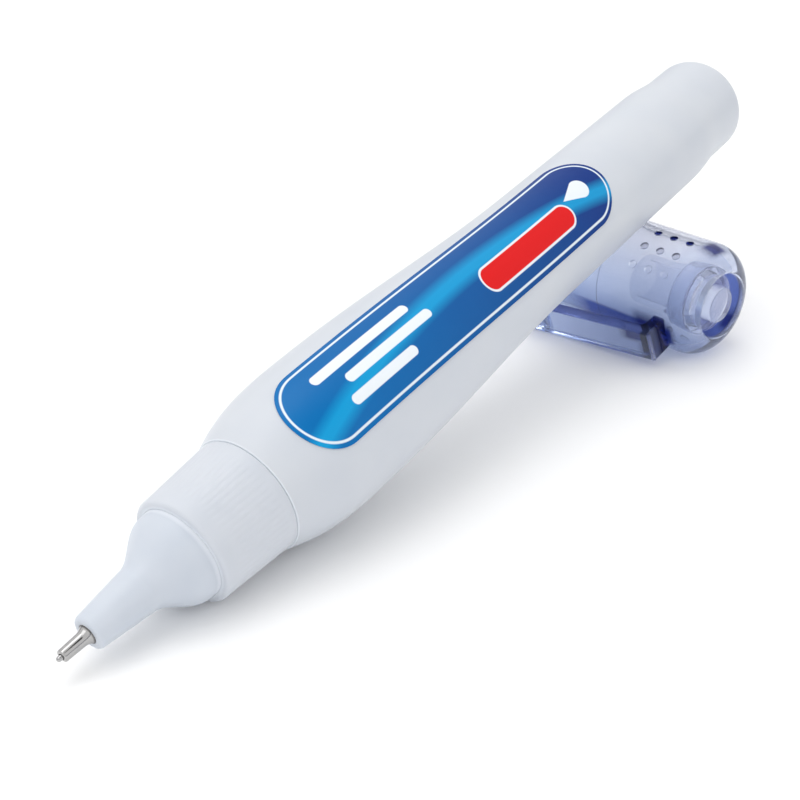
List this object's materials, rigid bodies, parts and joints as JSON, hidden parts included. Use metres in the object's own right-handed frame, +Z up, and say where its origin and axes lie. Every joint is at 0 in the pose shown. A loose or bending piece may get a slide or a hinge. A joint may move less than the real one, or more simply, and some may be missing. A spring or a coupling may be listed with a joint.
{
  "type": "correction pen",
  "caption": "Squeeze-type correction pen with a sprung metal tip, ribbed collar and soft belly, lying across its clear clip cap.",
  "frame": {"origin": "under the middle of the object's box, on the surface it lies on", "axes": "+X along the pen in plan, from tip to rear; +Z up; the cap's closed end points to -Y"},
  "size_m": [0.1318, 0.0378, 0.0358],
  "materials": {
    "barrel": "satin white",
    "label": "printed film, blue with red and white",
    "collar": "satin white",
    "nozzle": "satin bluish white",
    "metal_tip": "bright turned",
    "valve_needle": "ground",
    "valve_spring": "drawn wire",
    "spring_retainer": "natural white",
    "needle_carrier": "natural white",
    "neck_gasket": "soft grey",
    "mixing_ball": "polished",
    "cap_shell": "clear violet-blue",
    "inner_cap": "soft translucent"
  },
  "bodies": {
    "pen": {"barrel": "barrel", "label": "label", "neck_gasket": "neck_gasket", "collar": "collar", "nozzle": "nozzle", "metal_tip": "metal_tip", "valve_spring": "valve_spring", "spring_retainer": "spring_retainer"},
    "valve": {"valve_needle": "valve_needle", "needle_carrier": "needle_carrier"},
    "ball": {"mixing_ball": "mixing_ball"},
    "cap": {"cap_shell": "cap_shell", "inner_cap": "inner_cap"}
  },
  "joints": [
    {"name": "needle_press", "type": "slide", "parent": "pen", "child": "valve", "axis": [0.9805, 0, 0.1965], "range_m": [0, 0.0005], "stiffness_N_per_m": 800, "springref_m": -0.0005, "deforming": ["valve_spring"]},
    {"name": "ball_roll", "type": "slide", "parent": "pen", "child": "ball", "axis": [0.9757, 0, 0.2191], "range_m": [0, 0.0942]},
    {"name": "cap_draw", "type": "slide", "parent": "pen", "child": "cap", "axis": [-0.184, -0.9829, 0], "range_m": [0, 0.045]}
  ]
}
